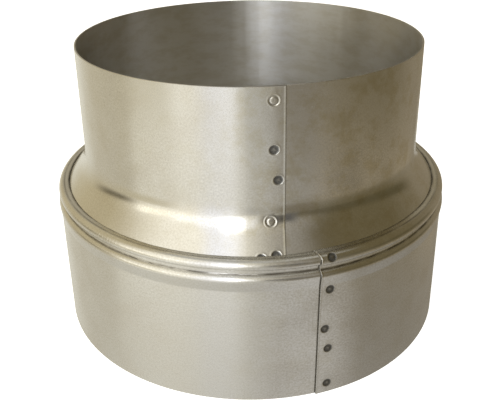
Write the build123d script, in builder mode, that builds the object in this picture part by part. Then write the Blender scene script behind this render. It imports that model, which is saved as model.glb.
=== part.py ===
"""Stove pipe increaser of two rolled sheets: a narrow collar with its flared foot in a wide collar's lip.

Millimetres, +Z up the flue. The origin is the centre of the lower rim.
Turns are degrees about +Z from the front, which is -Y, towards +X.
"""

import os
from math import cos, radians, sin, sqrt, tan

from build123d import *

# Sheet and pipe sizes
sheet = 0.6  # thickness of both sheets
spigot_radius = 64.6  # outside of the narrow end, which slips into a 130 pipe
socket_radius = 75.2  # inside of the wide end, which takes a 150 pipe
overall_height = 107.8
seam_height = 54.4  # top of the lip that closes the seam

# Wide collar's rolled edge
shoulder_drop = 6.1  # from the seam's height to the shoulder's corner
shoulder_proud = 0.7  # shoulder's corner beyond the wall
shoulder_ramp = 4.7  # height over which the wall swells to the shoulder
shoulder_round = 2.0
ramp_round = 3.0
valley_rise = 1.1  # from the shoulder's corner to the foot of the groove's back
valley_round = 0.8
groove_depth = 1.05  # groove's back in from the wall
groove_round = 0.3
lip_height = 3.3  # from the groove's upper flank to the lip's top
lip_proud = 0.15  # lip's face beyond the wall
lip_foot_round = 0.7
lip_round = 1.45
lip_gap = 0.15  # from the lip's raw edge to the flare

# Narrow collar's flare
flare_angle = 39.0  # from the wall
flare_round = 15.0  # bend from the wall into the flare, as far as the flare is long enough for it
bend_share = 0.6  # most of the flare's length that the bend may take
foot_rest = 25.0  # slope of the groove's inside where the flare's tip rests on it

# Lap seams
easing = 60.0  # turn over which a sheet steps over its own end
upper_lap_start = -1.4
upper_lap_end = 9.75
lower_lap_start = 16.5
lower_lap_end = 25.5

# Spot welds: turn, then a drop from the top, a height above the floor or a share of the flare's height
upper_wall_welds = [(6.4, 4.3), (6.5, 20.3), (7.7, 30.6)]
lower_wall_welds = [(19.3, 3.9), (19.2, 18.6), (18.2, 26.8), (19.2, 42.0)]
bend_weld_turn = 5.5
bend_weld_tilt = 20.5
foot_welds = [(2.5, 0.2), (6.3, 0.25)]
lip_weld_turn = 19.5
lip_weld_tilt = 40.0
weld_radius = 1.6
weld_depth = 0.2

# Worked out from the sizes above
ball_radius = (weld_radius**2 + weld_depth**2) / (2 * weld_depth)
socket_outside = socket_radius + sheet
shoulder_height = seam_height - shoulder_drop
groove_height = seam_height - lip_height
groove_radius = socket_outside - groove_depth
lip_radius = socket_outside + lip_proud
flare_slope = tan(radians(flare_angle))
back_round = groove_round + sheet
foot_radius = groove_radius + groove_round - back_round * cos(radians(foot_rest))
foot_height = groove_height - groove_round + back_round * sin(radians(foot_rest))
flare_width = foot_radius - spigot_radius
flare_rise = flare_width / flare_slope
flare_height = foot_height + flare_rise
bend_turn = tan(radians(flare_angle / 2))
bend_round = min(flare_round, bend_share * flare_rise / cos(radians(flare_angle)) / bend_turn)
bend_height = flare_height + bend_round * bend_turn
bend_weld_radius = spigot_radius + bend_round * (1 - cos(radians(bend_weld_tilt)))
bend_weld_height = bend_height - bend_round * sin(radians(bend_weld_tilt))
lip_weld_radius = lip_radius + sheet - lip_round * (1 - cos(radians(lip_weld_tilt)))
lip_weld_height = seam_height - lip_round * (1 - sin(radians(lip_weld_tilt)))


def narrow_outside(height):
    """Outside radius of the narrow collar at a height: its wall, its bend or its flare."""
    drop = max(bend_height - height, 0)
    if drop > bend_round * sin(radians(flare_angle)):
        return foot_radius - (height - foot_height) * flare_slope
    return spigot_radius + bend_round - sqrt(bend_round**2 - drop**2)


def outward(turn):
    """Unit vector away from the axis at a turn."""
    return Vector(sin(radians(turn)), -cos(radians(turn)), 0)


def radial_plane(turn, shift=0.0):
    """Plane through the axis at a turn, moved outward by a shift: x is the radius and y the height."""
    out = outward(turn)
    return Plane(origin=out * shift, x_dir=out, z_dir=out.cross(Vector(0, 0, 1)))


def rolled(section, lap_section, lap_start, lap_end, step):
    """Stretches of a rolled sheet: the round, the doubled lap and two arcs that ease the step away.

    Each is a section, its plane, its axis and its arc. The arcs are tangent to the round and to each other.
    """
    lap = lap_end - lap_start
    ease_end = lap_end + easing
    throw = step / (2 - 2 * cos(radians(easing / 2)))
    near_axis = Axis(outward(lap_end) * throw, (0, 0, 1))
    far_axis = Axis(outward(ease_end) * -throw, (0, 0, 1))
    return [
        (section, radial_plane(ease_end), Axis.Z, 360 - easing - lap),
        (lap_section, radial_plane(lap_start), Axis.Z, lap),
        (section, radial_plane(lap_end, step), near_axis, easing / 2),
        (section, radial_plane(ease_end), far_axis, -easing / 2),
    ]


def weld_ball(turn, radius, height, tilt=0.0):
    """Centre of the ball that presses a weld at a point of a surface that leans back by a tilt."""
    rise = ball_radius - weld_depth
    across, up = rise * cos(radians(tilt)), rise * sin(radians(tilt))
    return outward(turn) * (radius + across) + Vector(0, 0, height + up)


# Sheet of the narrow collar, from its top edge down to the flare's tip
with BuildSketch() as upper_section:
    with BuildLine():
        FilletPolyline(
            (spigot_radius, overall_height),
            (spigot_radius, flare_height),
            (foot_radius, foot_height),
            radius=[bend_round],
        )
        offset(amount=sheet, side=Side.RIGHT)
    make_face()

with BuildSketch() as upper_lap_section:
    add(upper_section.sketch)
    with Locations((-sheet, 0)):
        add(upper_section.sketch)

with BuildPart() as upper_collar:
    for section, plane, axis, arc in rolled(
        upper_section, upper_lap_section, upper_lap_start, upper_lap_end, -sheet
    ):
        with BuildSketch(plane):
            add(section.sketch)
        revolve(axis=axis, revolution_arc=arc)
    with Locations(
        *[weld_ball(turn, spigot_radius, overall_height - drop) for turn, drop in upper_wall_welds],
        weld_ball(bend_weld_turn, bend_weld_radius, bend_weld_height, bend_weld_tilt),
        *[
            weld_ball(turn, foot_radius - share * flare_width, foot_height + share * flare_rise, flare_angle)
            for turn, share in foot_welds
        ],
    ):
        Sphere(ball_radius, mode=Mode.SUBTRACT)
upper_collar.part.label = "upper_collar"

# Sheet of the wide collar, from its lower rim up to the lip's raw edge beside the narrow collar
lip_edge_radius = narrow_outside(seam_height - sheet) + lip_gap
with BuildSketch() as lower_section:
    with BuildLine():
        FilletPolyline(
            (socket_outside, 0),
            (socket_outside, shoulder_height - shoulder_ramp),
            (socket_outside + shoulder_proud, shoulder_height),
            (groove_radius, shoulder_height + valley_rise),
            (groove_radius, groove_height),
            (lip_radius, groove_height),
            (lip_radius, seam_height),
            (lip_edge_radius, seam_height),
            radius=[ramp_round, shoulder_round, valley_round, groove_round, lip_foot_round, lip_round],
        )
        offset(amount=sheet, side=Side.LEFT)
    make_face()

with BuildSketch() as lower_lap_section:
    add(lower_section.sketch)
    with Locations((sheet, 0)):
        add(lower_section.sketch)

with BuildPart() as lower_collar:
    for section, plane, axis, arc in rolled(
        lower_section, lower_lap_section, lower_lap_start, lower_lap_end, sheet
    ):
        with BuildSketch(plane):
            add(section.sketch)
        revolve(axis=axis, revolution_arc=arc)
    with Locations(
        *[weld_ball(turn, socket_outside + sheet, height) for turn, height in lower_wall_welds],
        weld_ball(lip_weld_turn, lip_weld_radius, lip_weld_height, lip_weld_tilt),
    ):
        Sphere(ball_radius, mode=Mode.SUBTRACT)
lower_collar.part.label = "lower_collar"

os.makedirs("parts", exist_ok=True)
export_step(upper_collar.part, "parts/upper_collar.step")
export_step(lower_collar.part, "parts/lower_collar.step")
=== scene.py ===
"""Dressed model of a stove pipe increaser: two rolled collars of aluminised sheet, crimped together.

The sheets are swept by Geometry Nodes along their lapped paths, pressed with spot welds and dressed with one
procedural finish. Sizes are millimetres and degrees until they reach a mesh, which is in metres, as the
frame is. Turns are measured about +Z from the front, which is -Y, towards +X.
"""

import logging
from bisect import bisect_left
from dataclasses import dataclass, field
from enum import Enum
from functools import partial, reduce
from math import acos, ceil, cos, hypot, inf, pi, radians, sin, tan
from typing import Any, ClassVar

import bpy
from mathutils import Matrix, Vector


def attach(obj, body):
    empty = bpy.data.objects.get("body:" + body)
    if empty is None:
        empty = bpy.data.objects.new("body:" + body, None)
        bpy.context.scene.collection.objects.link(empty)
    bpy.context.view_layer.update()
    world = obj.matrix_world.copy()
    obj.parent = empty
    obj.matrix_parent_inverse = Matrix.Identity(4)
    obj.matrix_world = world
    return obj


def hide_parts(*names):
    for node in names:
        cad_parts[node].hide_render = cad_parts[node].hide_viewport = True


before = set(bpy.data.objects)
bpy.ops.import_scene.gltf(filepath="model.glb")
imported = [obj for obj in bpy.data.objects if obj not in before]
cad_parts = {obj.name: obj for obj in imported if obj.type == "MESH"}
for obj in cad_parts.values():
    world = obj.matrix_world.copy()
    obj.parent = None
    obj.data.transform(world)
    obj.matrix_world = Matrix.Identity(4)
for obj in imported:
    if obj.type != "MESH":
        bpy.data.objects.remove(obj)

LOG = logging.getLogger("increaser")
MM = 0.001
BODY = "root"
SLOT = "aluminised_sheet"

Socket = bpy.types.NodeSocket
Node = bpy.types.Node
Number = float | Socket
Tone = tuple[float, float, float]
Spot = tuple[float, float, float]
Colour = tuple[float, float, float, float]
Pairs = list[tuple[float, float]]


class Wiring:
    """Adds nodes to a tree and joins their sockets."""

    def __init__(self, tree: bpy.types.NodeTree) -> None:
        """Starts with a tree, which may already hold nodes.

        Args:
            tree: the node tree to fill.
        """
        self.tree = tree

    def add(self, kind: str, sockets: dict[int | str, Any] | None = None, **settings: Any) -> Node:
        """Adds one node.

        Args:
            kind: the node's type name.
            sockets: a value or an output socket for each input, by index or name.
            settings: the node's own properties.

        Returns:
            The new node.
        """
        node = self.tree.nodes.new(kind)
        for name, value in settings.items():
            setattr(node, name, value)
        for key, value in (sockets or {}).items():
            if isinstance(value, Socket):
                self.tree.links.new(value, node.inputs[key])
            else:
                node.inputs[key].default_value = value
        return node

    def math(self, operation: str, *terms: Number) -> Socket:
        """Adds a Math node.

        Args:
            operation: the operation's name.
            terms: up to three numbers or sockets.

        Returns:
            The result's socket.
        """
        return self.add("ShaderNodeMath", dict(enumerate(terms)), operation=operation).outputs[0]

    def ramp(self, value: Socket, low: Any, high: Any, to_low: Any = 0.0, to_high: Any = 1.0,
             smooth: bool = True) -> Socket:
        """Adds a clamped Map Range node.

        Args:
            value: the number to map.
            low: where the range starts.
            high: where the range ends.
            to_low: the result at and below the start.
            to_high: the result at and above the end.
            smooth: whether the ends ease.

        Returns:
            The result's socket.
        """
        curve = "SMOOTHSTEP" if smooth else "LINEAR"
        sockets = {0: value, 1: low, 2: high, 3: to_low, 4: to_high}
        return self.add("ShaderNodeMapRange", sockets, interpolation_type=curve, clamp=True).outputs[0]

    def product(self, *factors: Number) -> Socket:
        """Multiplies all the factors and returns the product's socket."""
        return reduce(partial(self.math, "MULTIPLY"), factors)

    def total(self, *terms: Number) -> Socket:
        """Adds all the terms and returns the sum's socket."""
        return reduce(partial(self.math, "ADD"), terms)

    def vector(self, x: Number = 0.0, y: Number = 0.0, z: Number = 0.0) -> Socket:
        """Joins three numbers into a vector and returns its socket."""
        return self.add("ShaderNodeCombineXYZ", {0: x, 1: y, 2: z}).outputs[0]

    def blend(self, share: Number, first: Number, second: Number) -> Socket:
        """Mixes two numbers by the second one's share and returns the result's socket."""
        return self.add("ShaderNodeMix", {0: share, 2: first, 3: second}).outputs[0]

    def scaled(self, vector: Socket, factor: Number) -> Socket:
        """Adds a Vector Math node that scales a vector and returns its socket."""
        return self.add("ShaderNodeVectorMath", {0: vector, 3: factor}, operation="SCALE").outputs[0]

    def noise(self, vector: Socket, scale: float, detail: float = 2.0, roughness: float = 0.5) -> Socket:
        """Adds a Noise Texture.

        Args:
            vector: where to read it.
            scale: its scale.
            detail: its number of octaves.
            roughness: how strongly the finer octaves count.

        Returns:
            The socket of its value, from 0 to 1.
        """
        sockets = {"Vector": vector, "Scale": scale, "Detail": detail, "Roughness": roughness}
        return self.add("ShaderNodeTexNoise", sockets).outputs[0]

    def mixed(self, share: Number, first: Any, second: Any) -> Socket:
        """Adds a colour Mix node.

        Args:
            share: the share of the second colour.
            first: the first colour or socket.
            second: the second colour or socket.

        Returns:
            The result's socket.
        """
        sockets = {0: share, 6: first, 7: second}
        return self.add("ShaderNodeMix", sockets, data_type="RGBA").outputs[2]


class SheetFace(Enum):
    """Side of a sheet's section."""

    OUTSIDE = 1.0
    INSIDE = 0.0


class WeldKind(Enum):
    """Mark that a welding electrode leaves."""

    DISHED = "dished"
    RINGED = "ringed"
    BURNT = "burnt"


@dataclass(frozen=True)
class Corner:
    """Corner of a section's outside, in millimetres.

    Attributes:
        radius: distance from the flue's axis.
        height: height above the floor.
        bend: radius of the round that the sheet takes there.
    """

    radius: float
    height: float
    bend: float = 0.0


@dataclass(frozen=True)
class SectionPoint:
    """Point of a section's outside with its outward normal.

    Attributes:
        radius: distance from the flue's axis.
        height: height above the floor.
        out_radius: the normal's part away from the axis.
        out_height: the normal's upward part.
    """

    radius: float
    height: float
    out_radius: float
    out_height: float

    def inward(self, depth: float) -> tuple[float, float]:
        """Gives the radius and height of the point that lies this deep under the outside."""
        return self.radius - self.out_radius * depth, self.height - self.out_height * depth


@dataclass(frozen=True)
class Run:
    """Straight or round stretch of a section's outside.

    Attributes:
        start: its first point, as radius and height.
        heading: unit direction at its start.
        length: its length.
        curve: its curvature, positive where it turns towards the sheet's inside.
    """

    start: tuple[float, float]
    heading: tuple[float, float]
    length: float
    curve: float = 0.0

    def at(self, along: float) -> SectionPoint:
        """Finds a point of the run.

        Args:
            along: length from the run's start.

        Returns:
            The point with its outward normal, which is to the right of the heading.
        """
        head_r, head_z = self.heading
        turn = along * self.curve
        if self.curve:
            ahead, aside = sin(turn) / self.curve, (1 - cos(turn)) / self.curve
        else:
            ahead, aside = along, 0.0
        radius = self.start[0] + head_r * ahead - head_z * aside
        height = self.start[1] + head_z * ahead + head_r * aside
        now_r = head_r * cos(turn) - head_z * sin(turn)
        now_z = head_z * cos(turn) + head_r * sin(turn)
        return SectionPoint(radius, height, now_z, -now_r)


class SheetLine:
    """Outside of a sheet's section, from its lower end to its upper end, with its corners rounded."""

    SEARCH_STEPS = 4000
    CLOSEST = 0.01

    def __init__(self, corners: list[Corner]) -> None:
        """Rounds the corners.

        Args:
            corners: the section's corners from the lower end to the upper end.
        """
        self.runs: list[Run] = []
        self.starts: list[float] = []
        self.length = 0.0
        reach = 0.0
        for before, here, after in zip(corners, corners[1:], corners[2:] + [None]):
            span = hypot(here.radius - before.radius, here.height - before.height)
            heading = ((here.radius - before.radius) / span, (here.height - before.height) / span)
            start = (before.radius + heading[0] * reach, before.height + heading[1] * reach)
            if after is None:
                self._lay(Run(start, heading, span - reach))
                break
            onward = hypot(after.radius - here.radius, after.height - here.height)
            leaving = ((after.radius - here.radius) / onward, (after.height - here.height) / onward)
            along = heading[0] * leaving[0] + heading[1] * leaving[1]
            across = heading[0] * leaving[1] - heading[1] * leaving[0]
            turn = acos(max(-1.0, min(1.0, along)))
            tangent = here.bend * tan(turn / 2)
            self._lay(Run(start, heading, span - reach - tangent))
            if here.bend:
                entry = (here.radius - heading[0] * tangent, here.height - heading[1] * tangent)
                side = 1 if across > 0 else -1
                self._lay(Run(entry, heading, here.bend * turn, side / here.bend))
            reach = tangent

    def _lay(self, run: Run) -> None:
        """Adds a run at the end of the line.

        Args:
            run: the run.
        """
        self.starts.append(self.length)
        self.runs.append(run)
        self.length += run.length

    def at(self, girth: float) -> SectionPoint:
        """Finds the point at a length of sheet from the lower end.

        Args:
            girth: that length.

        Returns:
            The point with its outward normal.
        """
        index = max(0, bisect_left(self.starts, girth) - 1)
        return self.runs[index].at(girth - self.starts[index])

    def girth_at(self, height: float) -> float:
        """Finds where the line first reaches a height.

        Args:
            height: the height.

        Returns:
            The length of sheet up to there.
        """
        for step in range(self.SEARCH_STEPS):
            girth = self.length * step / self.SEARCH_STEPS
            if self.at(girth).height >= height:
                return girth
        return self.length

    def stations(self, straight: float, turn: float, windows: Pairs | None = None,
                 fine: float = 1.0) -> list[float]:
        """Chooses where a mesh cuts the line.

        Args:
            straight: longest step on a straight run.
            turn: longest step on a bend, in degrees.
            windows: stretches of girth that need a fine mesh.
            fine: longest step in those.

        Returns:
            Lengths of sheet, in order.
        """
        cuts: list[float] = []
        for start, run in zip(self.starts, self.runs):
            angle = run.length * abs(run.curve)
            count = max(1, ceil(run.length / straight), ceil(angle / radians(turn)))
            cuts += [start + run.length * step / count for step in range(count)]
        cuts.append(self.length)
        for low, high in windows or []:
            low, high = max(low, 0.0), min(high, self.length)
            count = ceil((high - low) / fine)
            cuts = [cut for cut in cuts if not low < cut < high]
            cuts += [low + (high - low) * step / count for step in range(count + 1)]
        cuts.sort()
        merged = cuts[:1]
        for cut in cuts[1:]:
            if cut - merged[-1] > self.CLOSEST:
                merged.append(cut)
        return merged


@dataclass(frozen=True)
class SpotWeld:
    """Spot weld on a collar's lap.

    Attributes:
        turn: its place round the collar.
        height: its height above the floor.
        kind: the mark it leaves.
    """

    turn: float
    height: float
    kind: WeldKind


class SheetPatterns:
    """Marks that the sweep leaves on a sheet, with the noises that its finish is made of."""

    MARKS = ("turn", "girth", "weld", "cut", "dirt_and_shade", "lip", "outside", "seam", "edge", "burnish")

    def __init__(self, wiring: Wiring, width: float) -> None:
        """Reads the marks and lays the noises.

        Args:
            wiring: the material's nodes.
            width: millimetres of pattern for each radian of turn.
        """
        self.wiring = wiring
        self.mark = {
            name: wiring.add("ShaderNodeAttribute", attribute_name=name).outputs["Fac"] for name in self.MARKS
        }
        self.around = wiring.product(self.mark["turn"], width)
        self.flat = self.stretched()
        self.clouds = wiring.ramp(wiring.noise(self.flat, 0.06, 5.0, 0.6), 0.33, 0.72)
        self.specks = wiring.noise(self.flat, 1.5, 2.0, 0.6)
        self.grain = wiring.noise(self.stretched(along=0.035), 2.6, 4.0, 0.65)
        # Painted shadow on the under layer beside the lap's visible edge
        shade = wiring.product(wiring.ramp(self.mark["seam"], 0.08, 0.42, 0.6, 0.0), self.mark["outside"])
        # Dirt and painted shade in the crevices, broken up by noise
        gaps = wiring.ramp(wiring.noise(self.stretched(along=0.22), 0.8), 0.32, 0.62, 0.35, 1.0)
        crevice_shade_and_dirt = wiring.product(self.mark["dirt_and_shade"], gaps)
        # Painted shade along the lap's visible edge
        tip = wiring.product(self.mark["edge"], 0.68)
        # One mask of painted shade and dirt, which also dulls the sheet
        self.painted_shade_and_dirt = wiring.math("MAXIMUM", wiring.math("MAXIMUM", shade, crevice_shade_and_dirt), tip)

    def stretched(self, along: float = 1.0, across: float = 1.0) -> Socket:
        """Gives places on the flat sheet, scaled along its turn and across it."""
        wiring = self.wiring
        return wiring.vector(wiring.product(self.around, along), wiring.product(self.mark["girth"], across))

    def facing(self, turn: float) -> Socket:
        """Gives the cosine of the angle from a turn, which is in degrees."""
        return self.wiring.math("COSINE", self.wiring.math("SUBTRACT", self.mark["turn"], radians(turn)))


@dataclass(frozen=True)
class AluminisedSheet:
    """Satin finish of hot-dip aluminised steel sheet, drawn along its length.

    Attributes:
        tone: colour of the clean coating.
        cloud: colour of its dull patches.
        steel: colour of a cut edge.
        straw: colour of its specks and of the heat tint round a weld.
        scorch: colour of a weld's burnt middle.
        dirt_and_shade: colour of the dirt and painted shade in the crevices, and of the painted shadow at the
            lap's visible edge.
        dim: colour of the inside, the same metal darkened as painted shade.
        inside_mottle: colour of the darker mottling laid over the inside.
        tarnish_and_warm_reflection: colour of the tarnish outside, also laid on one side as a painted warm
            reflection.
        polish: roughness of the clean outside.
        dullness: roughness of the outside's dull patches.
        inside: roughness that the inside has beyond the outside's.
        burnish: roughness that the forming roll takes off.
        draw: how far the drawn surface spreads its reflections up and down.
        draw_turn: share of a turn from the tangent to the way of that spread.
        chatter_turn: middle of the stretch of lip that the crimping rolls left marked.
        warm_reflection_turn: middle of the side where the tarnish is laid thicker as a painted warm
            reflection.
        stained_from: height where the tarnish starts to thicken.
        stained_to: height where it is full.
        grain_height: relief of the drawn grain.
        speck_height: relief of the specks.
        crimp_height: relief of the crimping rolls' marks.
        roll_inside: relief of the bending rolls' bars inside.
        roll_outside: relief of those bars outside.
        width: millimetres of pattern for each radian of turn.
    """

    tone: Colour = (0.78, 0.77, 0.735, 1.0)
    cloud: Colour = (0.73, 0.71, 0.665, 1.0)
    steel: Colour = (0.50, 0.49, 0.47, 1.0)
    straw: Colour = (0.52, 0.49, 0.42, 1.0)
    scorch: Colour = (0.19, 0.19, 0.185, 1.0)
    dirt_and_shade: Colour = (0.13, 0.115, 0.09, 1.0)
    dim: Colour = (0.70, 0.69, 0.665, 1.0)
    inside_mottle: Colour = (0.53, 0.49, 0.40, 1.0)
    tarnish_and_warm_reflection: Colour = (0.55, 0.49, 0.32, 1.0)
    polish: float = 0.15
    dullness: float = 0.21
    inside: float = 0.20
    burnish: float = 0.08
    draw: float = 0.92
    draw_turn: float = 0.25
    chatter_turn: float = -52.0
    warm_reflection_turn: float = 45.0
    stained_from: float = 48.0
    stained_to: float = 62.0
    grain_height: float = 0.0015
    speck_height: float = 0.0008
    crimp_height: float = 0.11
    roll_inside: float = 0.11
    roll_outside: float = 0.006
    width: float = 70.0

    def material(self, name: str) -> bpy.types.Material:
        """Builds the finish as a material.

        Args:
            name: the material's name.

        Returns:
            The material.
        """
        material = bpy.data.materials.new(name)
        material.use_nodes = True
        wiring = Wiring(material.node_tree)
        patterns = SheetPatterns(wiring, self.width)
        turn = patterns.mark["turn"]
        shader = material.node_tree.nodes["Principled BSDF"]
        shader.inputs["Metallic"].default_value = 1.0
        shader.inputs["Anisotropic"].default_value = self.draw
        shader.inputs["Anisotropic Rotation"].default_value = self.draw_turn
        parts = {
            "Tangent": wiring.vector(wiring.math("COSINE", turn), wiring.math("SINE", turn)),
            "Base Color": self._colour(patterns),
            "Roughness": self._roughness(patterns),
            "Normal": self._relief(patterns),
        }
        for socket, value in parts.items():
            wiring.tree.links.new(value, shader.inputs[socket])
        return material

    def _colour(self, patterns: SheetPatterns) -> Socket:
        """Lays clouds, specks, tarnish with a painted warm reflection, the inside's painted shade, welds, cut
        edges, and dirt with painted shade over one another.

        Args:
            patterns: the sheet's marks and noises.

        Returns:
            The colour's socket.
        """
        wiring, mark, flat = patterns.wiring, patterns.mark, patterns.flat
        colour = wiring.mixed(patterns.clouds, self.tone, self.cloud)
        colour = wiring.mixed(wiring.ramp(patterns.specks, 0.3, 0.72, 0.0, 0.34), colour, self.straw)
        place = wiring.add("ShaderNodeTexCoord").outputs["Object"]
        height = wiring.add("ShaderNodeSeparateXYZ", {0: place}).outputs[2]
        above = wiring.ramp(height, self.stained_from * MM, self.stained_to * MM, 0.3, 1.0)
        # Tarnish, laid thicker on one side as a painted warm reflection
        warm_reflection_side = wiring.ramp(patterns.facing(self.warm_reflection_turn), 0.45, 0.9, 0.22, 1.0)
        tarnish = wiring.ramp(wiring.noise(flat, 0.1, 6.0, 0.7), 0.44, 0.66, 0.0, 0.55)
        colour = wiring.mixed(wiring.product(tarnish, warm_reflection_side, above), colour, self.tarnish_and_warm_reflection)
        # The inside: the metal darkened as painted shade, with darker mottling over it
        swept = wiring.noise(patterns.stretched(along=0.4), 0.22, 5.0, 0.65)
        within = wiring.mixed(wiring.ramp(swept, 0.4, 0.66, 0.0, 0.42), self.dim, self.inside_mottle)
        colour = wiring.mixed(mark["outside"], within, colour)
        burnt = wiring.product(mark["weld"], wiring.ramp(wiring.noise(flat, 1.6), 0.3, 0.7, 0.8, 1.15))
        colour = wiring.mixed(wiring.ramp(burnt, 0.0, 0.35, 0.0, 0.4), colour, self.straw)
        colour = wiring.mixed(wiring.ramp(burnt, 0.25, 1.0, 0.0, 0.95), colour, self.scorch)
        colour = wiring.mixed(wiring.product(mark["cut"], 0.8), colour, self.steel)
        # Dirt and painted shade in the crevices and painted shadow at the lap's edge, in one dark colour
        return wiring.mixed(patterns.painted_shade_and_dirt, colour, self.dirt_and_shade)

    def _roughness(self, patterns: SheetPatterns) -> Socket:
        """Adds up what dulls and polishes the sheet.

        Args:
            patterns: the sheet's marks and noises.

        Returns:
            The roughness's socket.
        """
        wiring, mark = patterns.wiring, patterns.mark
        dull = wiring.ramp(patterns.clouds, 0.0, 1.0, self.polish, self.dullness, smooth=False)
        within = wiring.ramp(mark["outside"], 0.0, 1.0, self.inside, 0.0, smooth=False)
        streak = wiring.ramp(patterns.grain, 0.25, 0.75, -0.02, 0.03, smooth=False)
        burnt = wiring.math("MULTIPLY_ADD", mark["weld"], 0.3, wiring.product(patterns.painted_shade_and_dirt, 0.25))
        rolled = wiring.product(mark["burnish"], -self.burnish)
        speckle = wiring.ramp(patterns.specks, 0.3, 0.7, -0.04, 0.06, smooth=False)
        return wiring.total(dull, within, streak, burnt, rolled, speckle)

    def _relief(self, patterns: SheetPatterns) -> Socket:
        """Raises the grain, the specks and the marks of the bending and crimping rolls.

        Args:
            patterns: the sheet's marks and noises.

        Returns:
            The socket of the bumped normal.
        """
        wiring, mark = patterns.wiring, patterns.mark
        grain = wiring.product(patterns.grain, self.grain_height)
        specks = wiring.product(patterns.specks, self.speck_height)
        bars = wiring.noise(patterns.stretched(across=0.02), 0.16)
        height = wiring.ramp(mark["outside"], 0.0, 1.0, self.roll_inside, self.roll_outside)
        rolls = wiring.product(bars, height)
        ticks = wiring.noise(patterns.stretched(across=0.12), 1.1, 3.0, 0.6)
        chatter = wiring.ramp(patterns.facing(self.chatter_turn), 0.93, 0.99)
        crimps = wiring.product(ticks, mark["lip"], chatter, self.crimp_height)
        relief = wiring.total(grain, specks, rolls, crimps)
        sockets = {"Strength": 1.0, "Distance": MM, "Height": relief}
        return wiring.add("ShaderNodeBump", sockets).outputs[0]


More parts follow.
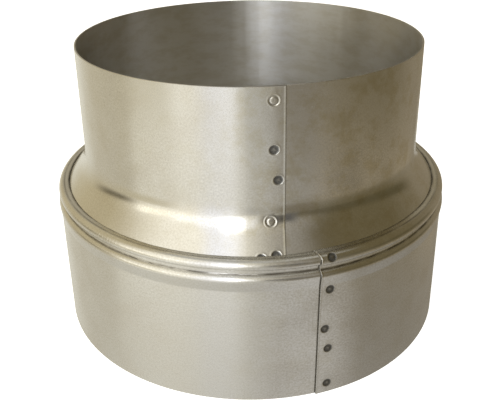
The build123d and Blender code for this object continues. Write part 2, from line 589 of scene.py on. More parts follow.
class RolledSheetTree:
    """Geometry Nodes tree that sweeps a section round a lapped path and presses spot welds into it."""

    INPUTS = {
        **dict.fromkeys(("Path Radius", "Lap Start", "Lap", "Step", "Easing"), "NodeSocketFloat"),
        **dict.fromkeys(("First Lap Stations", "Round Stations", "Last Lap Stations"), "NodeSocketInt"),
        "Welds": "NodeSocketObject",
        **dict.fromkeys(("Weld Reach", "Weld Depth", "Visible End", "Edge Break"), "NodeSocketFloat"),
        **dict.fromkeys(("Spring", "Ripple", "Nibble", "Tilt", "Tilt Turn", "Seed"), "NodeSocketFloat"),
        "Material": "NodeSocketMaterial",
    }
    # Marks of the electrodes: share of the reach and level, with 0.5 for the untouched sheet
    DISHED = [(0.0, 0.08), (0.36, 0.08), (0.55, 0.26), (0.64, 0.58), (0.72, 0.56), (0.87, 0.5), (1.0, 0.5)]
    RINGED = [
        (0.0, 0.46), (0.36, 0.42), (0.47, 0.16), (0.55, 0.16),
        (0.66, 0.53), (0.74, 0.57), (0.88, 0.5), (1.0, 0.5),
    ]
    BURNT = [(0.0, 0.20), (0.22, 0.16), (0.40, 0.10), (0.52, 0.26), (0.60, 0.49), (0.8, 0.5), (1.0, 0.5)]
    FLAT = 0.5
    SHARP = radians(35)
    # Shares of the lap beyond which its visible edge gets painted shade, kicks outward and is broken
    TIP_FROM, KICK_FROM, BREAK_FROM = 0.985, 0.93, 0.99
    KICK = 0.6
    BOW = 3.0
    # Waves of the sheet, sunk so that they stay under its true outside
    WAVE_PITCH = 0.004
    DENT_SCALE = 38.0
    WAVE_SUNK = 1.6
    NIBBLE_SUNK = 0.62
    # How far the lip closes and its crown rises for each millimetre that the lap lifts the sheet
    LIP_CLOSING = -1.45
    CROWN_RISE = 0.6

    def __init__(self) -> None:
        """Builds the tree."""
        self.tree = bpy.data.node_groups.new("Rolled sheet", "GeometryNodeTree")
        self.wiring = Wiring(self.tree)
        face = self.tree.interface
        face.new_socket("Section", in_out="INPUT", socket_type="NodeSocketGeometry")
        self.sockets = {
            name: face.new_socket(name, in_out="INPUT", socket_type=kind).identifier
            for name, kind in self.INPUTS.items()
        }
        face.new_socket("Sheet", in_out="OUTPUT", socket_type="NodeSocketGeometry")
        self.given = self.tree.nodes.new("NodeGroupInput").outputs
        sheet = self._swept()
        sheet = self._trimmed(sheet)
        sheet = self._worked(sheet)
        sheet = self._pressed(sheet)
        self._finished(sheet)

    def _mark(self, name: str) -> Socket:
        """Reads a named attribute and returns its socket."""
        return self.wiring.add("GeometryNodeInputNamedAttribute", {0: name}, data_type="FLOAT").outputs[0]

    def _store(self, geometry: Socket, name: str, value: Socket) -> Socket:
        """Stores a named attribute on points and returns the geometry's socket."""
        sockets = {"Geometry": geometry, "Name": name, "Value": value}
        return self.wiring.add("GeometryNodeStoreNamedAttribute", sockets, domain="POINT").outputs[0]

    def _swept(self) -> Socket:
        """Sweeps the section along the lapped path.

        Returns:
            The socket of the swept sheet.
        """
        wiring, given = self.wiring, self.given
        first, middle, last = (given[name + " Stations"] for name in ("First Lap", "Round", "Last Lap"))
        to_last = wiring.total(first, middle)
        end = wiring.total(to_last, last)
        line = wiring.add("GeometryNodeMeshLine", {"Count": wiring.total(end, 1.0)}).outputs[0]
        index = wiring.add("GeometryNodeInputIndex").outputs[0]
        lap = given["Lap"]
        swing = wiring.total(
            wiring.ramp(index, 0.0, first, 0.0, lap, smooth=False),
            wiring.ramp(index, first, to_last, 0.0, wiring.math("SUBTRACT", 2 * pi, lap), smooth=False),
            wiring.ramp(index, to_last, end, 0.0, lap, smooth=False),
        )
        over = wiring.ramp(swing, lap, wiring.total(lap, given["Easing"]), 1.0, 0.0)
        radius = wiring.total(given["Path Radius"], wiring.product(over, given["Step"]))
        turn = wiring.total(given["Lap Start"], swing)
        spot = self._outward(radius, turn)
        line = wiring.add("GeometryNodeSetPosition", {"Geometry": line, "Position": spot}).outputs[0]
        for name, value in (("turn", turn), ("swing", swing), ("over", over)):
            line = self._store(line, name, value)
        path = wiring.add("GeometryNodeMeshToCurve", {0: line}).outputs[0]
        path = wiring.add("GeometryNodeSetCurveNormal", {0: path}, mode="Z_UP").outputs[0]
        section = wiring.add("GeometryNodeMeshToCurve", {0: given["Section"]}).outputs[0]
        sockets = {"Curve": path, "Profile Curve": section, "Fill Caps": True}
        sheet = wiring.add("GeometryNodeCurveToMesh", sockets).outputs[0]
        return wiring.add("GeometryNodeFlipFaces", {0: sheet}).outputs[0]

    def _outward(self, amount: Socket, turn: Socket) -> Socket:
        """Gives a vector away from the flue's axis.

        Args:
            amount: its length.
            turn: the turn it points at.

        Returns:
            The vector's socket.
        """
        wiring = self.wiring
        ahead = wiring.product(amount, wiring.math("COSINE", turn), -1.0)
        return wiring.vector(wiring.product(amount, wiring.math("SINE", turn)), ahead)

    def _moved(self, sheet: Socket, offset: Socket) -> Socket:
        """Moves a sheet's points by an offset and returns the sheet's socket."""
        return self.wiring.add("GeometryNodeSetPosition", {0: sheet, "Offset": offset}).outputs[0]

    def _trimmed(self, sheet: Socket) -> Socket:
        """Leans the lap's visible edge as it was sheared and breaks its sharp corner.

        Args:
            sheet: the swept sheet.

        Returns:
            The socket of the trimmed sheet.
        """
        wiring, given = self.wiring, self.given
        swing, lap, last = self._mark("swing"), given["Lap"], given["Visible End"]
        near_last = wiring.ramp(swing, 2 * pi, wiring.total(2 * pi, lap), smooth=False)
        near_first = wiring.ramp(swing, 0.0, lap, 1.0, 0.0, smooth=False)
        near = wiring.blend(last, near_first, near_last)
        lean = self._mark("lean")
        past_last = wiring.math("SUBTRACT", wiring.math("SUBTRACT", swing, lap), lean)
        past_first = wiring.math("SUBTRACT", wiring.total(lean, 2 * pi), swing)
        past = wiring.product(wiring.blend(last, past_first, past_last), given["Path Radius"], 1 / MM)
        # Marks for the painted shadow beside the lap's visible edge and the painted shade along it
        sheet = self._store(sheet, "seam", past)
        below_lip = wiring.math("SUBTRACT", 1.0, self._mark("crown"))
        sheet = self._store(sheet, "edge", wiring.product(wiring.ramp(near, self.TIP_FROM, 1.0), below_lip))
        place = wiring.add("GeometryNodeInputPosition").outputs[0]
        sockets = {"Vector": place, "Angle": wiring.product(lean, near)}
        leant = wiring.add("ShaderNodeVectorRotate", sockets, rotation_type="Z_AXIS").outputs[0]
        sheet = wiring.add("GeometryNodeSetPosition", {0: sheet, "Position": leant}).outputs[0]
        bow = wiring.math("POWER", near, self.BOW)
        kick = wiring.product(wiring.ramp(near, self.KICK_FROM, 1.0), self.KICK)
        lift = wiring.product(wiring.total(bow, kick), given["Spring"])
        sheet = self._moved(sheet, self._outward(lift, self._mark("turn")))
        normal = wiring.add("GeometryNodeInputNormal").outputs[0]
        inset = wiring.product(wiring.ramp(near, self.BREAK_FROM, 1.0), given["Edge Break"], -1.0)
        return self._moved(sheet, wiring.scaled(normal, inset))

    def _worked(self, sheet: Socket) -> Socket:
        """Adds the faint flats of rolling, the lip's uneven edge, its close over the lap and the seam's tilt.

        Args:
            sheet: the trimmed sheet.

        Returns:
            The socket of the worked sheet.
        """
        wiring, given = self.wiring, self.given
        turn, girth = self._mark("turn"), self._mark("girth")
        spread = wiring.vector(wiring.total(turn, given["Seed"]), wiring.product(girth, self.WAVE_PITCH))
        flats = wiring.noise(spread, 5.0, 1.5)
        place = wiring.add("GeometryNodeInputPosition").outputs[0]
        dents = wiring.noise(wiring.scaled(place, self.DENT_SCALE), 1.0, 1.0)
        waves = wiring.math("SUBTRACT", wiring.total(flats, dents), self.WAVE_SUNK)
        ragged = wiring.math("SUBTRACT", wiring.noise(spread, 15.0, 2.0, 0.6), self.NIBBLE_SUNK)
        climb = wiring.product(self._mark("over"), given["Step"])
        depth = wiring.total(
            wiring.product(waves, given["Ripple"]),
            wiring.product(ragged, self._mark("raw"), given["Nibble"]),
            wiring.product(climb, self._mark("reach"), self.LIP_CLOSING),
        )
        lowest = wiring.math("COSINE", wiring.math("SUBTRACT", turn, given["Tilt Turn"]))
        share = wiring.product(wiring.math("SUBTRACT", 1.0, lowest), 0.5)
        rise = wiring.total(
            wiring.product(climb, self._mark("crown"), self.CROWN_RISE),
            wiring.product(share, self._mark("tilted"), given["Tilt"]),
        )
        sockets = {0: self._outward(depth, turn), 1: wiring.vector(z=rise)}
        return self._moved(sheet, wiring.add("ShaderNodeVectorMath", sockets, operation="ADD").outputs[0])

    def _electrode(self, profile: Pairs, ratio: Socket) -> Socket:
        """Adds the curve of an electrode's mark.

        Args:
            profile: shares of the reach and their levels.
            ratio: the share of the reach at a point.

        Returns:
            The socket of the level.
        """
        node = self.wiring.add("ShaderNodeFloatCurve", {"Value": ratio})
        points = node.mapping.curves[0].points
        points[0].location, points[1].location = profile[0], profile[-1]
        for spot in profile[1:-1]:
            points.new(*spot)
        node.mapping.update()
        return node.outputs[0]

    def _pressed(self, sheet: Socket) -> Socket:
        """Presses the spot welds.

        Args:
            sheet: the worked sheet.

        Returns:
            The socket of the welded sheet.
        """
        wiring, given = self.wiring, self.given
        welds = wiring.add("GeometryNodeObjectInfo", {"Object": given["Welds"]}).outputs["Geometry"]
        place = wiring.add("GeometryNodeInputPosition").outputs[0]
        sockets = {0: welds, 2: place}
        distance = wiring.add("GeometryNodeProximity", sockets, target_element="POINTS").outputs[1]
        nearest = wiring.add("GeometryNodeSampleNearest", {0: welds, 1: place}).outputs[0]
        ringed, burnt = (
            wiring.add("GeometryNodeSampleIndex", {0: welds, 1: self._mark(kind.value), 2: nearest},
                       data_type="FLOAT").outputs[0]
            for kind in (WeldKind.RINGED, WeldKind.BURNT)
        )
        ratio = wiring.math("DIVIDE", distance, given["Weld Reach"])
        within = wiring.math("MINIMUM", ratio, 1.0)
        outside = self._mark("outside")
        profiles = (self.DISHED, self.RINGED, self.BURNT)
        dished, stamped, flat = (self._electrode(profile, within) for profile in profiles)
        level = wiring.blend(burnt, wiring.blend(ringed, dished, stamped), flat)
        level = wiring.math("DIVIDE", wiring.math("SUBTRACT", level, self.FLAT), self.FLAT)
        core = wiring.ramp(ratio, 0.0, 0.36, 0.62, 1.0)
        brim = wiring.ramp(ratio, 0.50, 0.66, 1.0, 0.14)
        halo = wiring.ramp(ratio, 0.62, 1.2, 1.0, 0.0)
        ring_inside = wiring.ramp(ratio, 0.36, 0.5, 0.3, 0.6)
        ring_brim = wiring.ramp(ratio, 0.52, 0.66, 1.0, 0.1)
        tint = wiring.blend(ringed, wiring.product(core, brim), wiring.product(ring_inside, ring_brim))
        sheet = self._store(sheet, "weld", wiring.product(tint, halo, outside))
        normal = wiring.add("GeometryNodeInputNormal").outputs[0]
        depth = wiring.product(level, outside, given["Weld Depth"])
        return self._moved(sheet, wiring.scaled(normal, depth))

    def _finished(self, sheet: Socket) -> None:
        """Shades the sheet, gives it its material and ends the tree.

        Args:
            sheet: the welded sheet.
        """
        wiring = self.wiring
        sheet = wiring.add("GeometryNodeSetShadeSmooth", {0: sheet}, domain="FACE").outputs[0]
        angle = wiring.add("GeometryNodeInputMeshEdgeAngle").outputs[0]
        sharp = wiring.math("GREATER_THAN", angle, self.SHARP)
        sockets = {0: sheet, "Selection": sharp, "Shade Smooth": False}
        sheet = wiring.add("GeometryNodeSetShadeSmooth", sockets, domain="EDGE").outputs[0]
        sheet = wiring.add("GeometryNodeRealizeInstances", {0: sheet}).outputs[0]
        sockets = {0: sheet, "Material": self.given["Material"]}
        sheet = wiring.add("GeometryNodeSetMaterial", sockets).outputs[0]
        wiring.add("NodeGroupOutput", {0: sheet})


@dataclass(frozen=True)
class MeshSteps:
    """How finely a collar is cut into faces, in millimetres and degrees.

    Attributes:
        straight: longest step on a straight run of the outside.
        bend: longest step on a bend of the outside.
        detail: longest step across welds and dirt.
        straight_inside: longest step on a straight run of the inside.
        bend_inside: longest step on a bend of the inside.
        welded_lap: stations in the lap's welded layer.
        under_lap: stations in the layer under it.
        rest: stations in the rest of the turn.
    """

    straight: float = 3.0
    bend: float = 7.0
    detail: float = 0.17
    straight_inside: float = 4.0
    bend_inside: float = 11.0
    welded_lap: int = 76
    under_lap: int = 12
    rest: int = 216


@dataclass
class Collar:
    """Collar rolled from one sheet whose ends lap.

    Attributes:
        name: the piece's name.
        node: the CAD node it stands for.
        corners: its section's outside from the lower end to the upper end.
        path_radius: radius of its straight wall's outside.
        lap_start: turn where the lap starts.
        lap_end: turn where the lap ends.
        step: radial step of the sheet's first end from the round.
        welds: its spot welds.
        welded_end: whether the outer layer is the sheet's last end.
        sheet: the sheet's thickness.
        easing: turn over which the sheet steps over its own end.
        weld_reach: radius that a weld's mark works on.
        weld_depth: depth of a weld's mark.
        ripple: height of the sheet's waves.
        nibble: how uneven the lip's raw edge is.
        break_edge: chamfer of a cut edge.
        spring: how far the lap's visible edge springs off the layer under it.
        tilt: how much higher the seam stands opposite its lowest turn.
        tilt_turn: turn where the seam is lowest.
        tilted: girth and share of the tilt that the sheet follows there.
        burnished: girth and share of the forming roll's polish there.
        leans: girth and turn by which the visible edge strays there.
        lip_from: girth where the turned lip starts.
        dirt_and_shade_at: middle and half width of each band of dirt and painted crevice shade, as girths,
            and its strength.
        seed: place in the noise that waves the sheet.
        steps: how finely it is cut.
    """

    WELD_SHARE: ClassVar[float] = 0.78  # part of a weld's reach that is cut finely
    RAW_WIDTH: ClassVar[float] = 1.2  # width of the lip's uneven edge
    LIP_EASE: ClassVar[float] = 2.0  # width over which the lip starts
    LIP_REACH: ClassVar[float] = 3.0  # width of the lip that closes over the lap
    TINY: ClassVar[float] = 1e-6

    name: str
    node: str
    corners: list[Corner]
    path_radius: float
    lap_start: float
    lap_end: float
    step: float
    welds: list[SpotWeld]
    welded_end: bool
    sheet: float = 0.6
    easing: float = 60.0
    weld_reach: float = 2.7
    weld_depth: float = 0.2
    ripple: float = 0.05
    nibble: float = 0.0
    break_edge: float = 0.09
    spring: float = 0.1
    tilt: float = 1.2
    tilt_turn: float = 40.0
    tilted: Pairs = field(default_factory=list)
    burnished: Pairs = field(default_factory=list)
    leans: Pairs = field(default_factory=list)
    lip_from: float = inf
    dirt_and_shade_at: list[tuple[float, float, float]] = field(default_factory=list)
    seed: float = 0.0
    steps: MeshSteps = MeshSteps()

    def __post_init__(self) -> None:
        """Lays the section's outside."""
        self.line = SheetLine(self.corners)

    def _loop(self) -> list[tuple[float, float, dict[str, float]]]:
        """Cuts the closed section.

        Returns:
            Radius, height and marks of each point, counter-clockwise from the outside's lower end.
        """
        reach, steps = self.weld_reach * self.WELD_SHARE, self.steps
        middles = [self.line.girth_at(weld.height) for weld in self.welds]
        windows = sorted(
            [(middle - reach, middle + reach) for middle in middles]
            + [(middle - half, middle + half) for middle, half, _ in self.dirt_and_shade_at]
        )
        joined: Pairs = []
        for low, high in windows:
            if joined and low <= joined[-1][1]:
                joined[-1] = (joined[-1][0], max(high, joined[-1][1]))
            else:
                joined.append((low, high))
        edge, length = self.break_edge, self.line.length
        outside = self.line.stations(steps.straight, steps.bend, joined, steps.detail)
        inside = self.line.stations(steps.straight_inside, steps.bend_inside)
        loop = []
        for face, cuts in ((SheetFace.OUTSIDE, outside), (SheetFace.INSIDE, inside[::-1])):
            depth = 0.0 if face is SheetFace.OUTSIDE else self.sheet
            inner = min(max(depth, edge), self.sheet - edge)
            ends = [(cuts[0], inner)] + [
                (min(max(cut, edge), length - edge), depth) for cut in cuts
            ] + [(cuts[-1], inner)]
            for girth, under in ends:
                radius, height = self.line.at(girth).inward(under)
                loop.append((radius, height, self._marks(girth, face)))
        return loop

    def _marks(self, girth: float, face: SheetFace) -> dict[str, float]:
        """Works out what a section's point tells the finish.

        Args:
            girth: its length of sheet from the lower end.
            face: its side of the sheet.

        Returns:
            A number for each mark.
        """
        to_end = self.line.length - girth
        on_lip = min(1.0, max(0.0, (girth - self.lip_from) / self.LIP_EASE))
        bands = [much * max(0.0, 1 - abs(girth - middle) / half) for middle, half, much in self.dirt_and_shade_at]
        return {
            "lean": radians(self._between(self.leans, girth)),
            "tilted": self._between(self.tilted, girth),
            "burnish": self._between(self.burnished, girth) * face.value,
            "girth": girth,
            "outside": face.value,
            "cut": 1.0 if min(girth, to_end) < self.TINY else 0.0,
            "raw": max(0.0, 1 - to_end / self.RAW_WIDTH),
            "reach": max(0.0, 1 - to_end / self.LIP_REACH) if on_lip else 0.0,
            "crown": on_lip,
            "lip": 1.0 if girth > self.lip_from and face is SheetFace.OUTSIDE else 0.0,
            "dirt_and_shade": max(bands, default=0.0) if face is SheetFace.OUTSIDE else 0.0,
        }

    @staticmethod
    def _between(steps: Pairs, girth: float) -> float:
        """Reads a value that changes evenly between given girths.

        Args:
            steps: girths in order with their values.
            girth: length of sheet from the lower end.

        Returns:
            The value there, or 0 where no steps are given.
        """
        if not steps:
            return 0.0
        after = bisect_left([place for place, _ in steps], girth)
        if after in (0, len(steps)):
            return steps[min(after, len(steps) - 1)][1]
        (low, first), (high, second) = steps[after - 1], steps[after]
        return first + (second - first) * (girth - low) / (high - low)

    def _section(self) -> bpy.types.Object:
        """Makes the section as a closed loop of edges.

        Returns:
            The object that will carry the sweep.
        """
        loop = self._loop()
        mesh = bpy.data.meshes.new(self.name)
        spots = [((radius - self.path_radius) * MM, -height * MM, 0.0) for radius, height, _ in loop]
        mesh.from_pydata(spots, [(i, (i + 1) % len(spots)) for i in range(len(spots))], [])
        for mark in loop[0][2]:
            layer = mesh.attributes.new(mark, "FLOAT", "POINT")
            layer.data.foreach_set("value", [marks[mark] for _, _, marks in loop])
        section = bpy.data.objects.new(self.name + "_section", mesh)
        bpy.context.scene.collection.objects.link(section)
        return section

    def _weld_points(self) -> bpy.types.Object:
        """Makes a mesh with one point at each weld.

        Returns:
            The object that holds it.
        """
        spots = []
        outer = 0.0 if self.welded_end else self.step
        for weld in self.welds:
            point = self.line.at(self.line.girth_at(weld.height))
            turn, radius = radians(weld.turn), point.radius + outer
            spots.append((radius * sin(turn) * MM, -radius * cos(turn) * MM, point.height * MM))
        mesh = bpy.data.meshes.new(self.name + "_welds")
        mesh.from_pydata(spots, [], [])
        for kind in WeldKind:
            layer = mesh.attributes.new(kind.value, "FLOAT", "POINT")
            layer.data.foreach_set("value", [float(weld.kind is kind) for weld in self.welds])
        points = bpy.data.objects.new(self.name + "_welds", mesh)
        bpy.context.scene.collection.objects.link(points)
        return points

    def build(self, tree: RolledSheetTree, material: bpy.types.Material) -> bpy.types.Object:
        """Sweeps the collar and makes it a plain mesh.

        Args:
            tree: the tree that rolls the sheet.
            material: its finish.

        Returns:
            The finished piece.
        """
        section, welds = self._section(), self._weld_points()
        modifier = section.modifiers.new("Rolled sheet", "NODES")
        modifier.node_group = tree.tree
        laps = [self.steps.welded_lap, self.steps.under_lap]
        first, last = reversed(laps) if self.welded_end else laps
        values = {
            "Path Radius": self.path_radius * MM,
            "Lap Start": radians(self.lap_start),
            "Lap": radians(self.lap_end - self.lap_start),
            "Step": self.step * MM,
            "Easing": radians(self.easing),
            "First Lap Stations": first,
            "Round Stations": self.steps.rest,
            "Last Lap Stations": last,
            "Welds": welds,
            "Weld Reach": self.weld_reach * MM,
            "Weld Depth": self.weld_depth * MM,
            "Visible End": 1.0 if self.welded_end else 0.0,
            "Edge Break": self.break_edge * MM,
            "Spring": self.spring * MM,
            "Ripple": self.ripple * MM,
            "Nibble": self.nibble * MM,
            "Tilt": self.tilt * MM,
            "Tilt Turn": radians(self.tilt_turn),
            "Seed": self.seed,
            "Material": material,
        }
        for name, value in values.items():
            modifier[tree.sockets[name]] = value
        bpy.context.view_layer.update()
        graph = bpy.context.evaluated_depsgraph_get()
        mesh = bpy.data.meshes.new_from_object(section.evaluated_get(graph))
        for helper in (section, welds):
            bpy.data.objects.remove(helper)
        mesh.name = self.name
        piece = bpy.data.objects.new(self.name, mesh)
        bpy.context.scene.collection.objects.link(piece)
        return piece

    def dress(self, piece: bpy.types.Object) -> None:
        """Puts the piece in the frame in place of its CAD node.

        Args:
            piece: the finished piece.
        """
        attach(piece, BODY)
        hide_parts(self.node)


@dataclass
class Increaser:
    """The fitting: its shared sizes, its two collars and their seams, in millimetres.

    Attributes:
        sheet: thickness of both sheets.
        spigot_radius: outside of the narrow end.
        socket_radius: inside of the wide end.
        overall_height: its height.
        seam_height: corner of the lip that closes the seam.
        shoulder_drop: from the seam's height to the shoulder's corner.
        shoulder_proud: shoulder's corner beyond the wall.
        shoulder_ramp: height over which the wall swells to the shoulder.
        shoulder_round: bend of the shoulder.
        ramp_round: bend where the wall starts to swell.
        valley_rise: from the shoulder's corner to the foot of the groove's back.
        valley_round: bend at that foot.
        groove_depth: groove's back in from the wall.
        groove_round: bend at the groove's upper corner.
        lip_height: from the groove's upper flank to the lip's top.
        lip_proud: lip's face beyond the wall.
        lip_foot_round: bend at the lip's foot.
        lip_round: bend of the lip's top.
        lip_weld_tilt: how far the lip leans back where its weld is.
        lip_gap: from the lip's raw edge to the flare.
        flare_angle: the flare's angle from the wall.
        flare_round: bend from the wall into the flare.
        foot_rest: slope of the groove's inside where the flare's tip rests on it.
        bend_low: height of the lower part of that bend.
        bend_high: height of its upper part.
    """

    sheet: float = 0.6
    spigot_radius: float = 64.6
    socket_radius: float = 75.2
    overall_height: float = 107.8
    seam_height: float = 54.4
    shoulder_drop: float = 6.1
    shoulder_proud: float = 0.7
    shoulder_ramp: float = 4.7
    shoulder_round: float = 2.0
    ramp_round: float = 3.0
    valley_rise: float = 1.1
    valley_round: float = 0.8
    groove_depth: float = 1.05
    groove_round: float = 0.3
    lip_height: float = 3.3
    lip_proud: float = 0.15
    lip_foot_round: float = 0.85
    lip_round: float = 2.2
    lip_weld_tilt: float = 40.0
    lip_gap: float = 0.02
    flare_angle: float = 39.0
    flare_round: float = 15.0
    foot_rest: float = 25.0
    bend_low: float = 60.0
    bend_high: float = 66.0

    def __post_init__(self) -> None:
        """Works out the sizes that both collars share."""
        rest = radians(self.foot_rest)
        back_round = self.groove_round + self.sheet
        self.outside = self.socket_radius + self.sheet
        self.groove_height = self.seam_height - self.lip_height
        self.groove_radius = self.outside - self.groove_depth
        self.lip_radius = self.outside + self.lip_proud
        self.flare_slope = tan(radians(self.flare_angle))
        self.foot_radius = self.groove_radius + self.groove_round - back_round * cos(rest)
        self.foot_height = self.groove_height - self.groove_round + back_round * sin(rest)

    def upper_collar(self) -> Collar:
        """Sets out the narrow collar.

        Returns:
            The collar.
        """
        flare_height = self.foot_height + (self.foot_radius - self.spigot_radius) / self.flare_slope
        collar = Collar(
            name="narrow_collar",
            node="upper_collar",
            corners=[
                Corner(self.foot_radius, self.foot_height),
                Corner(self.spigot_radius, flare_height, self.flare_round),
                Corner(self.spigot_radius, self.overall_height),
            ],
            path_radius=self.spigot_radius,
            lap_start=-1.4,
            lap_end=9.75,
            step=-self.sheet,
            welds=[
                SpotWeld(6.4, 103.5, WeldKind.RINGED),
                SpotWeld(6.5, 87.5, WeldKind.DISHED),
                SpotWeld(7.7, 77.2, WeldKind.DISHED),
                SpotWeld(5.5, 63.1, WeldKind.RINGED),
                SpotWeld(6.3, self.foot_height + 3.0, WeldKind.DISHED),
                SpotWeld(2.5, self.foot_height + 2.4, WeldKind.DISHED),
            ],
            welded_end=True,
            sheet=self.sheet,
            seed=3.0,
        )
        collar.leans = [(0.0, -1.3), (collar.line.girth_at(self.bend_high), 0.0)]
        # Dirt and painted shade in the crevice where the flare's tip meets the lip
        collar.dirt_and_shade_at = [(3.1, 0.9, 0.8)]
        bend = collar.line.girth_at(self.bend_low)
        collar.tilted = [(bend, 1.0), (bend + 16.0, 0.0)]
        collar.burnished = [(bend - 1.0, 0.6), (bend + 1.0, 1.0), (bend + 5.0, 1.0), (bend + 10.0, 0.0)]
        return collar

    def lower_collar(self) -> Collar:
        """Sets out the wide collar.

        Returns:
            The collar.
        """
        shoulder_height = self.seam_height - self.shoulder_drop
        under_lip = self.seam_height - self.sheet
        lip_drop = self.lip_round * (1 - sin(radians(self.lip_weld_tilt)))
        edge_radius = self.foot_radius - (under_lip - self.foot_height) * self.flare_slope + self.lip_gap
        collar = Collar(
            name="wide_collar",
            node="lower_collar",
            corners=[
                Corner(self.outside, 0.0),
                Corner(self.outside, shoulder_height - self.shoulder_ramp, self.ramp_round),
                Corner(self.outside + self.shoulder_proud, shoulder_height, self.shoulder_round),
                Corner(self.groove_radius, shoulder_height + self.valley_rise, self.valley_round),
                Corner(self.groove_radius, self.groove_height, self.groove_round),
                Corner(self.lip_radius, self.groove_height, self.lip_foot_round),
                Corner(self.lip_radius, self.seam_height, self.lip_round),
                Corner(edge_radius, self.seam_height),
            ],
            path_radius=self.outside,
            lap_start=16.5,
            lap_end=25.5,
            step=self.sheet,
            welds=[
                SpotWeld(19.3, 3.9, WeldKind.BURNT),
                SpotWeld(19.2, 18.6, WeldKind.BURNT),
                SpotWeld(18.2, 26.8, WeldKind.BURNT),
                SpotWeld(19.2, 42.0, WeldKind.BURNT),
                SpotWeld(19.5, self.seam_height - lip_drop, WeldKind.BURNT),
            ],
            welded_end=False,
            sheet=self.sheet,
            weld_reach=2.65,
            nibble=0.45,
            seed=11.0,
        )
        crease = collar.line.girth_at(self.groove_height - 0.1)
        collar.leans = [
            (0.0, -0.3), (shoulder_height, 0.2), (crease, 0.0), (crease + 3.0, 0.4), (crease + 7.0, -0.6),
        ]
        collar.lip_from = crease + 1.5
        valley = collar.line.girth_at(shoulder_height + self.valley_rise)
        end = collar.line.length
        # Dirt and painted shade in the groove's valley and along the lip's raw edge
        collar.dirt_and_shade_at = [(valley, 0.6, 1.0), (end, 0.6, 0.8), (end - 1.6, 0.5, 0.6)]
        collar.tilted = [(26.0, 0.0), (shoulder_height - 2.0, 1.0)]
        return collar


@dataclass(frozen=True)
class SoftPanel:
    """Soft patch of light or shade in the room, in degrees.

    Attributes:
        bearing: its middle, from the front towards the right.
        half_width: half its width.
        fade: width over which it fades to the sides.
        level: its middle's height above the horizon.
        half_height: half its height.
        soft: height over which it fades up and down.
        tone: its light.
    """

    bearing: float
    half_width: float
    fade: float
    level: float
    half_height: float
    soft: float
    tone: Tone

    def over(self, wiring: Wiring, under: Any, bearing: Socket, level: Socket) -> Socket:
        """Lays the panel over the light behind it.

        Args:
            wiring: the room's nodes.
            under: the light behind it.
            bearing: bearing of the direction that is looked in.
            level: height of that direction above the horizon.

        Returns:
            The socket of the joint light.
        """
        aside = wiring.math("SUBTRACT", bearing, self.bearing)
        aside = wiring.math("ABSOLUTE", wiring.math("WRAP", aside, 180.0, -180.0))
        above = wiring.math("ABSOLUTE", wiring.math("SUBTRACT", level, self.level))
        across = wiring.ramp(aside, self.half_width, self.half_width + self.fade, 1.0, 0.0)
        along = wiring.ramp(above, self.half_height, self.half_height + self.soft, 1.0, 0.0)
        return wiring.mixed(wiring.math("MULTIPLY", across, along), under, (*self.tone, 1.0))


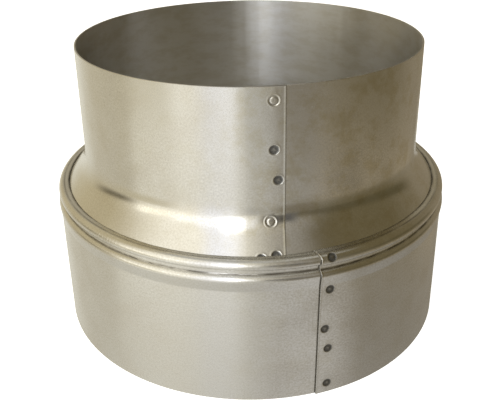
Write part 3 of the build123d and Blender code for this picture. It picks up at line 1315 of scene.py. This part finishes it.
@dataclass
class Studio:
    """Pale floor, soft light and the photograph's camera, in metres and degrees.

    Attributes:
        lens: focal length for a 36 mm sensor.
        distance: camera's distance from the point it looks at.
        aim_height: height of that point on the flue's axis.
        pitch: how far the camera looks down.
        roll: turn of the camera about its line of sight.
        shift_x: sideways shift of the frame.
        shift_y: upward shift of the frame.
        near_limit: nearest distance that the camera shows.
        room_tone: light of the room where no panel is.
        panels: patches of light and shade, each laid over those before it.
        floor_half: half the floor's width.
        floor_tone: the floor's colour.
        floor_dullness: the floor's roughness.
        floor_glow: strength of the floor's own light.
        within_radius: radius of the unlit floor under the fitting.
        within_lift: height of that over the floor.
        within_sides: its number of sides.
    """

    lens: float = 51.35
    distance: float = 0.28992
    aim_height: float = 0.05559
    pitch: float = 23.856
    roll: float = -0.694
    shift_x: float = -0.001
    shift_y: float = -0.0783
    near_limit: float = 0.01
    room_tone: Tone = (0.16, 0.13, 0.07)
    panels: tuple[SoftPanel, ...] = (
        # Walls and dim corners of the room
        SoftPanel(-105.0, 65.0, 20.0, 0.0, 90.0, 20.0, (0.60, 0.52, 0.34)),
        SoftPanel(-160.0, 5.0, 45.0, -30.0, 15.0, 30.0, (0.85, 0.82, 0.70)),
        SoftPanel(140.0, 5.0, 50.0, 0.0, 10.0, 40.0, (0.28, 0.235, 0.16)),
        SoftPanel(168.0, 8.0, 12.0, -24.0, 3.0, 4.0, (0.70, 0.67, 0.60)),
        SoftPanel(62.0, 42.0, 20.0, 0.0, 3.0, 9.0, (0.115, 0.095, 0.05)),
        SoftPanel(10.0, 5.0, 45.0, 0.0, 90.0, 20.0, (0.17, 0.15, 0.11)),
        SoftPanel(24.0, 3.0, 24.0, 30.0, 16.0, 14.0, (0.36, 0.335, 0.29)),
        # Tall window at the front left and its brightest strip
        SoftPanel(-35.0, 15.0, 50.0, 0.0, 90.0, 20.0, (1.25, 1.20, 1.05)),
        SoftPanel(-20.0, 4.0, 14.0, 0.0, 90.0, 10.0, (1.22, 1.23, 1.29)),
        # Glints that the bend mirrors
        SoftPanel(-56.0, 12.0, 12.0, 8.0, 4.0, 5.0, (1.55, 1.48, 1.26)),
        SoftPanel(-30.0, 13.0, 12.0, 13.0, 4.0, 8.0, (1.60, 1.57, 1.45)),
        SoftPanel(-16.0, 8.0, 16.0, 17.0, 7.0, 12.0, (1.45, 1.47, 1.53)),
        SoftPanel(-12.0, 2.0, 8.0, 20.0, 11.0, 9.0, (3.70, 3.80, 3.95)),
        # Dark spots beside the glints
        SoftPanel(17.0, 6.0, 9.0, 7.0, 6.0, 8.0, (0.12, 0.115, 0.11)),
        SoftPanel(-95.0, 5.0, 20.0, -2.0, 1.0, 7.0, (0.13, 0.105, 0.055)),
        # Top of the back wall, and the ceiling
        SoftPanel(190.0, 12.0, 24.0, 25.0, 12.0, 10.0, (0.45, 0.41, 0.315)),
        SoftPanel(0.0, 180.0, 1.0, 90.0, 20.0, 14.0, (0.55, 0.54, 0.50)),
        # Ground at the left and at the right
        SoftPanel(-60.0, 50.0, 90.0, -90.0, 35.0, 65.0, (0.66, 0.645, 0.58)),
        SoftPanel(85.0, 45.0, 110.0, -90.0, 20.0, 60.0, (0.46, 0.45, 0.44)),
        # Light and shade low in the room
        SoftPanel(-72.0, 14.0, 16.0, -14.0, 3.0, 6.0, (0.64, 0.58, 0.42)),
        SoftPanel(-62.0, 16.0, 10.0, -26.0, 2.0, 6.0, (0.92, 0.89, 0.77)),
        SoftPanel(-40.0, 20.0, 24.0, -28.5, 2.0, 4.0, (1.04, 1.02, 0.93)),
        SoftPanel(92.0, 40.0, 20.0, -25.5, 1.5, 4.5, (0.36, 0.30, 0.205)),
        SoftPanel(30.0, 8.0, 34.0, -41.0, 7.0, 7.0, (0.58, 0.56, 0.53)),
        SoftPanel(5.0, 3.0, 15.0, -15.0, 6.0, 6.0, (0.50, 0.49, 0.455)),
        SoftPanel(28.0, 8.0, 12.0, -16.0, 4.0, 6.0, (0.21, 0.18, 0.13)),
    )
    floor_half: float = 20.0
    floor_tone: Colour = (0.93, 0.93, 0.92, 1.0)
    floor_dullness: float = 0.9
    floor_glow: float = 0.9
    within_radius: float = 0.0755
    within_lift: float = 0.0004
    within_sides: int = 60

    def camera(self) -> None:
        """Makes the camera at the photograph's viewing angle."""
        data = bpy.data.cameras.new("camera")
        data.lens = self.lens
        data.shift_x = self.shift_x
        data.shift_y = self.shift_y
        data.clip_start = self.near_limit
        camera = bpy.data.objects.new("camera", data)
        down = radians(self.pitch)
        back = Vector((0.0, -cos(down), sin(down)))
        turn = Matrix.Rotation(pi / 2 - down, 4, "X") @ Matrix.Rotation(radians(self.roll), 4, "Z")
        place = Vector((0.0, 0.0, self.aim_height)) + back * self.distance
        camera.matrix_world = Matrix.Translation(place) @ turn
        bpy.context.scene.collection.objects.link(camera)
        bpy.context.scene.camera = camera

    def _ground(self, name: str, rim: list[Spot], glow: float) -> bpy.types.Object:
        """Makes one flat pale face.

        Args:
            name: its name.
            rim: its corners.
            glow: strength of the light it gives.

        Returns:
            The face's object.
        """
        mesh = bpy.data.meshes.new(name)
        mesh.from_pydata(rim, [], [tuple(range(len(rim)))])
        material = bpy.data.materials.new(name)
        material.use_nodes = True
        shader = material.node_tree.nodes["Principled BSDF"]
        shader.inputs["Base Color"].default_value = self.floor_tone
        shader.inputs["Roughness"].default_value = self.floor_dullness
        shader.inputs["Emission Color"].default_value = (1.0, 1.0, 1.0, 1.0)
        shader.inputs["Emission Strength"].default_value = glow
        mesh.materials.append(material)
        ground = bpy.data.objects.new(name, mesh)
        bpy.context.scene.collection.objects.link(ground)
        return ground

    def floor(self) -> None:
        """Makes the bright floor and the unlit round of it that the fitting stands over."""
        half, radius, lift = self.floor_half, self.within_radius, self.within_lift
        square = [(-half, -half, 0.0), (half, -half, 0.0), (half, half, 0.0), (-half, half, 0.0)]
        floor = self._ground("floor", square, self.floor_glow)
        floor.visible_glossy = False
        floor.visible_shadow = False
        turns = [2 * pi * side / self.within_sides for side in range(self.within_sides)]
        circle = [(radius * cos(turn), radius * sin(turn), lift) for turn in turns]
        within = self._ground("floor_within", circle, 0.0)

    def sky(self) -> None:
        """Makes the room: a dim warm base with soft panels over it."""
        world = bpy.data.worlds.new("room")
        bpy.context.scene.world = world
        world.use_nodes = True
        wiring = Wiring(world.node_tree)
        way = wiring.add("ShaderNodeTexCoord").outputs["Generated"]
        split = wiring.add("ShaderNodeSeparateXYZ", {0: way}).outputs
        level = wiring.math("DEGREES", wiring.math("ARCSINE", split[2]))
        ahead = wiring.math("MULTIPLY", split[1], -1.0)
        bearing = wiring.math("DEGREES", wiring.math("ARCTAN2", split[0], ahead))
        tone: Any = (*self.room_tone, 1.0)
        for panel in self.panels:
            tone = panel.over(wiring, tone, bearing, level)
        background = world.node_tree.nodes["Background"]
        wiring.tree.links.new(tone, background.inputs[0])

    def build(self) -> None:
        """Sets the whole studio up."""
        bpy.context.scene.view_settings.view_transform = "Standard"
        self.camera()
        self.floor()
        self.sky()


def main() -> None:
    """Builds the collars and the studio."""
    logging.basicConfig(level=logging.INFO, format="%(name)s: %(message)s")
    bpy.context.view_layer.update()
    increaser = Increaser()
    tree = RolledSheetTree()
    material = AluminisedSheet().material(SLOT)
    for collar in (increaser.upper_collar(), increaser.lower_collar()):
        piece = collar.build(tree, material)
        collar.dress(piece)
        LOG.info("%s: %d faces, lap from %.1f to %.1f degrees", piece.name, len(piece.data.polygons),
                 collar.lap_start, collar.lap_end)
    Studio().build()
    LOG.info("studio ready")


if __name__ == "__main__":
    main()
